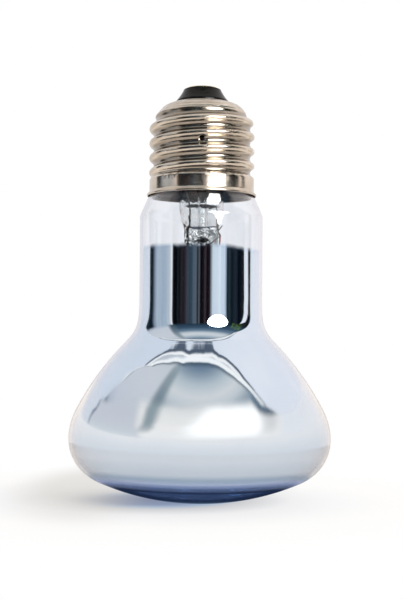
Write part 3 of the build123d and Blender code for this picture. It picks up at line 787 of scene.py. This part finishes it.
wire("shell_lead", [(3.88, 0, 69.0), (3.85, 0, 72.0), (3.8, 0.05, 77.0), (3.4, 1.0, 82.0), (2.8, 4.5, 86.1),
                    (1.2, 9.42, 86.1), (0, 11.02, 83.5), (0, 11.02, 80.5), (0, 11.25, 79.0), (0, 12.1, 77.3),
                    (0, 12.85, 76.0), (0, 13.25, 75.2), (0, 13.3, 74.85)],
     0.12, nickel_wire, "nickel_wire", "lead_outer_shell")
for side, name, start_x, start_y in ((-1, "left", -3.1, 0), (1, "right", 4.45, -0.5)):
    wire(f"inner_lead_{name}", [(start_x, start_y, 62.2), (start_x + side * 0.15, -0.1, 58.5),
                                (side * 4.2, 0, 53.0), (side * 5.6, 0, 45.0), (side * 6.8, 0, 38.0),
                                (side * FILAMENT_R, 0, 34.6), (side * FILAMENT_R, 0, 32.0)],
         0.35, nickel_wire, "nickel_wire", f"lead_inner_{name}")
wire("tie", [(1.7, -0.9, 62.75), (1.75, -1.72, 62.8), (2.4, -1.8, 63.3), (3.3, -1.75, 64.1), (4.2, -1.5, 64.8),
             (4.75, -1.1, 65.1), (4.5, -0.8, 65.7), (4.15, -0.8, 66.4), (4.7, -0.85, 67.1), (5.2, -0.9, 67.75)],
     0.14, moly_wire, "molybdenum_wire", "tie_wire")


def make_support(k):
    """Hook from the press that ends in an eye around the filament."""
    x, angle, radius = k * 1.6, -pi / 2 + k * pi / 4, 0.14
    out_x, out_y = FILAMENT_R * cos(angle), FILAMENT_R * sin(angle)
    eye = COIL_R + 0.07 + radius
    path = smooth_path([(x, 0, 63.3), (x, 0, 59.3), (x + 0.55 * (out_x - x), 0.55 * out_y, 47.0),
                        (out_x, out_y, 37.0), (out_x, out_y, FILAMENT_Z + eye + 0.5)], 10)
    away = Vector((cos(angle), sin(angle), 0))
    along = Vector((-sin(angle), cos(angle), 0))
    centre = Vector((out_x, out_y, FILAMENT_Z))
    for part in steps(25):
        t = pi / 2 - 2 * pi * 1.05 * part
        path.append(centre + away * (eye * cos(t)) + Vector((0, 0, eye * sin(t)))
                    + along * (0.32 * part - 0.16))
    return tube(f"support_{k + 2}", path, radius, 8)


for k in (-1, 0, 1):
    dress(make_support(k), moly_wire, "molybdenum_wire", f"support_wire_{k + 2}")


def make_coil():
    """Coiled tungsten wire along the front half of a ring."""
    ends, turns, per, coil, radius = asin(0.37 / FILAMENT_R), 120, 14, 0.29, 0.055
    path = []
    for t in steps(turns * per):
        a = pi + ends + (pi - 2 * ends) * t
        b = 2 * pi * turns * t
        sag = 0.25 * (1 - abs(cos(4 * (a - pi))) ** 0.8)
        path.append(Vector((cos(a), sin(a), 0)) * (FILAMENT_R + coil * cos(b))
                    + Vector((0, 0, FILAMENT_Z - sag + coil * sin(b))))
    return tube("filament_coil", path, radius, 6)


dress(make_coil(), tungsten, "tungsten", "filament")

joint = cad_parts["shell_solder"]
for slot in joint.material_slots:
    slot.material = solder
if not joint.material_slots:
    joint.data.materials.append(solder)


# floor and cards
def flat_object(name, verts, faces):
    mesh = bpy.data.meshes.new(name)
    mesh.from_pydata(verts, [], faces)
    obj = bpy.data.objects.new(name, mesh)
    scene.collection.objects.link(obj)
    return obj


def bare_material(card):
    mat = bpy.data.materials.new(card.name)
    mat.use_nodes = True
    mat.node_tree.nodes.remove(mat.node_tree.nodes["Principled BSDF"])
    card.data.materials.append(mat)
    return mat.node_tree


def emission(tree, color, strength=1.0):
    return put(tree, "ShaderNodeEmission", {"Color": color, "Strength": strength})


def join(factor, a, b):
    return put(factor.tree, "ShaderNodeMixShader", {0: factor, 1: a, 2: b})


def surface(shader):
    shader.tree.links.new(shader.socket, shader.tree.nodes["Material Output"].inputs["Surface"])


def shine(card, tree, color, strength=1.0, cover=None, sampled=False):
    """Lights a card up for reflections and glass only, see-through where cover is 0."""
    glow = emission(tree, color, strength)
    surface(glow if cover is None else join(cover, put(tree, "ShaderNodeBsdfTransparent"), glow))
    if not sampled:
        card.active_material.cycles.emission_sampling = "NONE"
    card.visible_camera = card.visible_shadow = card.visible_diffuse = False


def make_floor():
    size = 4.0
    floor = flat_object("floor", [(-size, -size, 0), (size, -size, 0), (size, size, 0), (-size, size, 0)],
                        [(0, 1, 2, 3)])
    mat, shader, coords = material("floor_paper", Base_Color=(0.9, 0.9, 0.9, 1.0), Roughness=0.9,
                                   Specular_IOR_Level=0.1)
    tree = mat.node_tree
    x, y, _ = split(coords)

    def away(x_shift=0.0, x_scale=1.0, y_shift=0.0, y_scale=1.0):
        return hypot((x + x_shift) * x_scale, (y + y_shift) * y_scale)

    # straight from the camera: the real shadow lifted towards the white paper, with a painted blue shadow where
    # the glass touches and a painted warm shadow to the left
    near = away(0.012, y_scale=1.8)
    lift = near.ramp([(0.0, 0.5), (0.012, 0.55), (0.017, 0.62), (0.022, 0.72), (0.035, 0.85), (0.06, 0.93),
                      (0.1, 1.0)], 0.0, 0.1)
    painted_shadow_tint = near.ramp([(0.0, (0.4, 0.48, 0.7)), (0.012, (0.45, 0.54, 0.78)), (0.017, (0.6, 0.74, 0.95)),
                      (0.022, (0.82, 0.83, 0.85)), (0.035, (0.95, 0.95, 0.96)), (0.06, (1.0, 0.995, 0.985)),
                      (0.1, 1.0)], 0.0, 0.1)
    # painted warm shadow on the paper to the left of the bulb
    left = x.span(-0.008, -0.03) * away(0.026, 1.6, -0.015, 0.8).span(0.045, 0.018)
    painted_shadow_tint = mix(left * 0.9, painted_shadow_tint, (0.8, 0.78, 0.75))
    straight = join(lift, Val(tree, shader.outputs[0]), emission(tree, painted_shadow_tint))
    # in reflections and through the glass, all painted shadow: dark under the bulb with dimmer paper around it,
    # darker paper far in front, blue close under the glass, near black after more than one reflection
    painted_floor_shade = away().ramp([
        (0.0, (0.012, 0.022, 0.055)), (0.021, (0.02, 0.035, 0.08)), (0.025, (0.25, 0.29, 0.4)),
        (0.0275, (0.59, 0.6, 0.71)), (0.031, (0.46, 0.51, 0.56)), (0.035, (0.79, 0.76, 0.74)),
        (0.055, (0.94, 0.87, 0.82)), (0.124, (0.93, 0.87, 0.82)), (0.16, (0.85, 0.79, 0.74))], 0.0, 0.2)
    # painted shade: darker paper far in front of the bulb
    painted_floor_shade = mix(y.span(-0.04, -0.12) * away().span(0.125, 0.19), painted_floor_shade, (0.06, 0.052, 0.045))
    # painted blue shadow close under the glass
    outer = ray(tree, "Transmission Depth").calc("LESS_THAN", 0.5) * away().span(0.0135, 0.004)
    painted_floor_shade = mix(outer, painted_floor_shade, (0.17, 0.27, 0.43))
    # painted shade: near black after more than one reflection
    painted_floor_shade = mix(ray(tree, "Glossy Depth").calc("GREATER_THAN", 1.5) * 0.9, painted_floor_shade, (0.012, 0.02, 0.04))
    surface(join(ray(tree, "Is Camera Ray"), emission(tree, painted_floor_shade), straight))
    floor.data.materials.append(mat)
    floor.location.z = -0.00005


def make_front_card():
    """Low white card around the front, seen only in reflections of the bulb's lower half."""
    verts, count, radius, top = [], 48, 0.118, 0.043
    for a in steps(count, radians(-150) - pi / 2, radians(150) - pi / 2):
        verts += [(radius * cos(a), radius * sin(a), 0.0), (radius * cos(a), radius * sin(a), top)]
    card = flat_object("front_card", verts, [(2 * k, 2 * k + 2, 2 * k + 3, 2 * k + 1) for k in range(count)])
    tree = bare_material(card)
    z = split(put(tree, "ShaderNodeTexCoord", output="Object"))[2]
    paint = z.span(0.0, top).ramp([(0.0, (0.93, 0.87, 0.82)), (1.0, (1.09, 0.99, 0.9))])
    shine(card, tree, paint, cover=z.span(top - 0.001, top, 1.0, 0.0), sampled=True)


def make_waist_card():
    """Flat card around the waist, seen from below in the bulb's lower half: window glow, panel, streak."""
    verts, around, rows, low, high = [], 150, 12, 0.036, 0.16
    for a in steps(around, radians(-150) - pi / 2, radians(150) - pi / 2):
        for part in steps(rows):
            r = low + (high - low) * part ** 1.5
            verts.append((r * cos(a), r * sin(a), 0.0))
    corners = [k * (rows + 1) + i for k in range(around) for i in range(rows)]
    card = flat_object("waist_card", verts, [(p, p + 1, p + rows + 2, p + rows + 1) for p in corners])
    card.location.z = 0.044
    tree = bare_material(card)
    coords = put(tree, "ShaderNodeTexCoord", output="Object")
    x, y, _ = split(coords)
    # turn in degrees from the front to the right, far in mm from the axis
    cloud = (spots(coords, 22.0, 3.0, 0.55) - 0.5) * 9.0
    turn = x.calc("ARCTAN2", y * -1.0) * (180 / pi) + cloud
    far = hypot(x, y) * 1000.0 + cloud

    def by_far(stops):
        return far.ramp(stops, 30.0, 150.0)

    color = by_far([(r, seen(*c)) for r, c in (
        (34, (188, 200, 211)), (40, (208, 216, 223)), (47, (226, 231, 235)), (60, (232, 236, 241)),
        (90, (232, 237, 242)), (120, (226, 232, 240)), (145, (224, 231, 239)))])
    panel = by_far([(r, seen(*c)) for r, c in (
        (34, (189, 199, 212)), (50, (192, 201, 215)), (90, (196, 206, 219)), (120, (206, 216, 227)),
        (145, (218, 225, 234)))])
    color = mix(turn.span(-42.0, -52.0), color, panel)
    centre = by_far([(31, 0.27), (36, 0.303), (45, 0.348), (60, 0.384), (83, 0.44), (120, 0.5)])
    streak = abs(turn + centre * 100.0).span(8.5, 1.5) * far.span(100.0, 52.0)
    color = mix(streak * 0.95, color, seen(132, 151, 163))
    top = turn.ramp([(-30, 0.62), (-12, 0.5), (2.4, 0.42), (15, 0.375), (29.4, 0.372), (42, 0.4), (49.2, 0.46),
                     (60, 0.6)], -30.0, 60.0)
    glow = ((far - top * 100.0).span(-2.0, 9.0) * far.span(116.0, 60.0)
            * turn.span(-20.0, 3.0) * turn.span(54.0, 40.0))
    color = mix(glow, color, (1.6, 1.42, 1.25))
    wedge = turn.span(42.0, 54.0) * turn.span(68.0, 56.0) * far.span(110.0, 52.0)
    color = mix(wedge * 0.9, color, seen(206, 212, 219))
    color = mix(turn.span(60.0, 70.0), color, seen(222, 230, 241))
    # the tent's left edge runs on as a thin dark line
    hem = by_far([(42, 0.84), (49, 0.907), (60, 0.972), (75, 1.03), (100, 1.06), (150, 1.08)])
    beside = turn + hem * 100.0
    color = mix(beside.span(1.0, -1.0), color, seen(204, 216, 232))
    color = mix(abs(beside).span(2.2, 0.4) * far.span(140.0, 90.0), color, seen(104, 120, 142))
    # where the card ends, so that the arcs of the tent show above it
    inner = turn.ramp([(-150, 0.6), (-112, 0.6), (-102, 0.6), (-92, 0.54), (-80, 0.48), (-66, 0.42),
                       (-52, 0.385), (40, 0.385), (46, 0.45), (50, 0.47), (56, 0.49), (64, 0.5), (80, 0.55),
                       (150, 0.6)], -150.0, 150.0)
    cover = (far - inner * 100.0).span(-1.0, 5.0) * far.span(155.0, 140.0) * abs(turn).span(148.0, 135.0)
    shine(card, tree, color, cover=cover * put(tree, "ShaderNodeNewGeometry", output="Backfacing"))


make_floor()
make_front_card()
make_waist_card()


# world: a white tent with an open front
def make_world():
    world = bpy.data.worlds.new("tent")
    scene.world = world
    world.use_nodes = True
    tree = world.node_tree
    tree.nodes.clear()
    d = put(tree, "ShaderNodeTexCoord", output="Generated")
    x, y, z = split(d)
    azimuth = x.calc("ARCTAN2", y * -1.0) * (180 / pi)
    height = z.calc("ARCSINE") * (180 / pi)

    # plane seen from below: the zenith is the middle, the horizon the unit circle
    centre_y = -0.55
    down = z + 1.0001
    qx = x.calc("DIVIDE", down)
    qy = y.calc("DIVIDE", down) - centre_y
    wobble = (spots(d, 9.0, 3.0, 0.6) - 0.5) * 0.05
    turn = qx.calc("ARCTAN2", qy).calc("DIVIDE", 2 * pi) + 0.5
    reach = hypot(qx, qy)

    def edge(points):
        """Edge of the opening from (azimuth, height) points, as reach against turn."""
        stops = []
        for a, h in points:
            r = tan(radians(90 - h) / 2)
            ux, uy = r * sin(radians(a)), -r * cos(radians(a)) - centre_y
            stops.append((atan2(ux, uy) / (2 * pi) + 0.5, sqrt(ux * ux + uy * uy) / 4))
        return turn.ramp(sorted(stops)) * 4.0

    inner_edge = edge([(-60, -40), (-100, -40), (-113, -15), (-113, 0), (-115, 6), (-124, 20), (-122, 28),
                       (-109, 42), (-98, 53.5), (-80, 65), (-52, 73), (-22, 77.2), (10, 77.8), (40, 74.8),
                       (59, 67.2), (68.5, 59), (73.5, 52.6), (77.5, 42.6), (79, 30), (80, 21), (92, 15),
                       (109, 9), (109, 0), (109, -15), (100, -40), (60, -40)])
    outer_edge = edge([(-60, -40), (-100, -40), (-114, -15), (-114, 0), (-116, 6), (-125, 20), (-120, 30),
                       (-106, 46), (-104, 57), (-93, 69.4), (-60, 79.5), (-30, 83.9), (20, 84), (68, 79.2),
                       (72, 75), (80, 66.5), (79.5, 56), (80.5, 47.5), (82, 41.5), (82, 30), (82, 21), (93, 15),
                       (110, 9), (110, 0), (110, -15), (100, -40), (60, -40)])
    inside = inner_edge - reach + wobble * 0.25
    outside = reach - outer_edge + wobble * 0.3

    # what stands in the open front, from left to right, as it shows on the neck
    left = azimuth.ramp([(a, seen(*c)) for a, c in (
        (-113, (20, 34, 46)), (-104.5, (8, 20, 30)), (-101, (78, 94, 114)), (-96, (140, 157, 180)),
        (-90, (164, 182, 203)), (-76, (150, 169, 191)), (-66, (161, 179, 199)), (-60, (186, 197, 212)),
        (-57, (236, 240, 244)), (-55.5, (107, 115, 126)), (-54, (9, 12, 17)), (-47, (5, 6, 10)),
        (-44.5, (24, 33, 42)), (-41, (12, 15, 22)), (-37, (38, 37, 43)), (-33, (28, 25, 32)),
        (-29, (44, 44, 54)), (-25, (60, 68, 81)), (-21, (45, 61, 76)), (-17, (48, 67, 84)),
        (-13, (78, 93, 110)), (-9, (79, 92, 108)), (-6, (12, 22, 34)), (-3.2, (80, 88, 96)),
        (-0.5, (9, 9, 17)))], -120.0, 0.0)
    right = azimuth.ramp([(a, seen(*c)) for a, c in (
        (0, (9, 9, 17)), (5, (20, 17, 24)), (8, (55, 50, 57)), (12, (14, 7, 14)), (17, (30, 26, 32)),
        (19.5, (120, 130, 144)), (22.5, (188, 205, 223)), (34, (203, 221, 239)), (45, (189, 210, 231)),
        (48.5, (150, 170, 194)), (51, (12, 28, 43)), (56, (38, 52, 61)), (61, (8, 21, 30)),
        (67, (28, 38, 50)), (72, (30, 38, 51)), (76, (2, 9, 19)), (83, (17, 22, 29)), (90, (33, 34, 38)),
        (97, (24, 27, 36)), (104, (1, 4, 14)), (109, (4, 8, 18)))], 0.0, 125.0)
    front = mix(azimuth.span(-0.5, 0.5, kind="LINEAR"), left, right)
    streaks = put(tree, "ShaderNodeCombineXYZ", {0: azimuth * 0.5, 1: height * 0.012})
    front = mix(0.35, front, spots(streaks, 1.0, 4.0, 0.6).ramp([(0.35, 0.55), (0.6, 1.35)]), "MULTIPLY")

    # higher up: dark under the edge of the tent, lighter below
    def by_height(stops):
        return height.ramp([(h, seen(*c)) for h, c in stops], 0.0, 90.0)

    middle = by_height([
        (27, (29, 50, 69)), (40, (56, 80, 104)), (49, (100, 126, 150)), (56, (188, 200, 211)),
        (60, (202, 211, 220)), (66, (174, 190, 203)), (70, (142, 161, 179)), (73.5, (113, 135, 158)),
        (77, (90, 114, 141))])
    panel = by_height([
        (15, (150, 168, 190)), (28, (166, 181, 201)), (34, (190, 200, 216)), (44, (193, 203, 217)),
        (54, (195, 204, 217)), (66, (188, 199, 211))])
    veil = by_height([(27, (50, 70, 86)), (50, (104, 124, 140)), (60, (124, 143, 156)), (68, (134, 152, 163))])
    shadow = azimuth.span(-70.0, -60.0) * azimuth.span(-44.0, -55.0) * height.span(76.0, 66.0, 0.0, 0.9)
    high = mix(shadow, mix(azimuth.span(-56.0, -64.0), middle, panel), veil)
    opening = mix((height + wobble * 60.0).span(24.0, 30.0), front, high)
    opening = mix(inside.span(0.03, 0.0) * 0.85, opening, seen(60, 78, 96))

    # the tent itself, with a seam and a bright rim around the opening
    tent = mix(x.span(-0.7, 0.8), (0.88, 0.856, 0.853), (1.08, 1.0, 0.96))
    tent = mix(spots(d, 3.2, 3.0, 0.5).span(0.35, 0.7, 0.12, 0.0), tent, (0.68, 0.69, 0.75))
    behind = y.span(0.55, 0.95) * height.span(75.0, 40.0)
    tent = mix(behind * 0.25, tent, (0.7, 0.72, 0.78))
    hem = mix(height.span(40.0, 47.0), tent, seen(182, 194, 208))
    color = mix(outside.span(-0.004, 0.004), hem, tent)
    seam = abs(outside + 0.026).span(0.011, 0.004) * height.span(30.0, 42.0)
    color = mix(seam, color, (1.25, 1.12, 1.0))
    hem_line = abs(outside + 0.006).span(0.004, 0.012, 1.0, 0.0) * height.span(18.0, 30.0)
    color = mix(hem_line, color, seen(78, 92, 112))
    color = mix(inside.span(-0.042, -0.016), color, (1.25, 1.14, 1.02))
    color = mix(inside.span(-0.006, 0.006), color, opening)

    # a few green leaves low on the right
    leaves = (azimuth.span(60.0, 66.0) * azimuth.span(88.0, 82.0) * height.span(20.0, 23.0)
              * height.span(40.0, 33.0) * spots(d, 24.0, 4.0, 0.7).span(0.5, 0.56))
    color = mix(leaves, color, seen(104, 142, 62))

    # a white backdrop straight behind, the tent in reflections and wherever glass bends the view far aside
    matt = ray(tree, "Diffuse Depth").calc("GREATER_THAN", 0.5)
    reflected = ray(tree, "Glossy Depth").calc("GREATER_THAN", 0.5).calc("ADD", matt, clamp=True)
    reflected = reflected.calc("MAXIMUM", abs(y).span(0.55, 0.3))
    reflected = reflected.calc("SUBTRACT", ray(tree, "Is Camera Ray"), clamp=True)
    color = mix(reflected, (1.0, 1.0, 1.0), color)
    back = put(tree, "ShaderNodeBackground", {"Color": color, "Strength": 1.0})
    tree.links.new(back.socket, tree.nodes.new("ShaderNodeOutputWorld").inputs["Surface"])


make_world()


# lamp and camera
def make_lamp():
    """Soft round lamp: an area light for matt surfaces and its shining face for mirrors and glass."""
    azimuth, height, away, strength, tint = radians(33.0), radians(21.2), 0.5, 12.0, (1.0, 0.985, 0.96)
    wide, tall = away * tan(radians(18.5)), away * tan(radians(13.5))
    light = bpy.data.lights.new("key", "AREA")
    light.shape = "ELLIPSE"
    light.size, light.size_y = 2 * wide, 2 * tall
    light.energy = strength * pi * pi * wide * tall
    light.color = tint
    lamp = bpy.data.objects.new("key", light)
    scene.collection.objects.link(lamp)
    ring = [(wide * cos(2 * pi * k / 96), tall * sin(2 * pi * k / 96), 0.0) for k in range(96)]
    face = flat_object("lamp_face", ring, [tuple(range(96))])
    aim = Vector((0, 0, 0.045))
    toward = Vector((sin(azimuth) * cos(height), -cos(azimuth) * cos(height), sin(height)))
    for obj in (lamp, face):
        obj.location = aim + away * toward
        obj.rotation_euler = (obj.location - aim).to_track_quat("Z", "Y").to_euler()
    lamp.visible_camera = lamp.visible_glossy = lamp.visible_transmission = False
    shine(face, bare_material(face), (*tint, 1.0), strength)


def make_glint_card():
    """Small bright card beside the cap, for the round glint on the shoulder under the rim."""
    view = Vector((0.341, -0.494, 0.8)).normalized()
    side = view.cross(Vector((0, 0, 1))).normalized()
    rise = side.cross(view)
    middle = Vector((11.17, -25.37, 92.36))
    ring = []
    for k in range(48):
        c, s = cos(2 * pi * k / 48), sin(2 * pi * k / 48)
        ring.append((middle - side * (5.92 * c + 0.885 * s) + rise * (1.535 * s - 1.23 * c)) * MM)
    glint = flat_object("glint_card", ring, [tuple(range(48))])
    tree = bare_material(glint)
    near = ray(tree, "Ray Length").calc("LESS_THAN", 0.034)
    shine(glint, tree, (1.0, 0.99, 0.98, 1.0), 26.0, near)


make_lamp()
make_glint_card()
camera_data = bpy.data.cameras.new("camera")
camera_data.sensor_fit = "VERTICAL"
camera_data.sensor_height = 36.0
camera_data.lens = 60.55
camera_data.clip_start = 0.01
camera_data.clip_end = 20.0
camera = bpy.data.objects.new("camera", camera_data)
scene.collection.objects.link(camera)
camera.matrix_world = (Matrix.Translation((0.0002, -0.25, 0.044))
                       @ Matrix.Rotation(radians(91.227), 4, "X") @ Matrix.Rotation(radians(0.47), 4, "Z"))
scene.camera = camera

scene.view_settings.view_transform = "Standard"
scene.cycles.max_bounces = 24
scene.cycles.transmission_bounces = 20
scene.cycles.glossy_bounces = 10
scene.cycles.transparent_max_bounces = 16
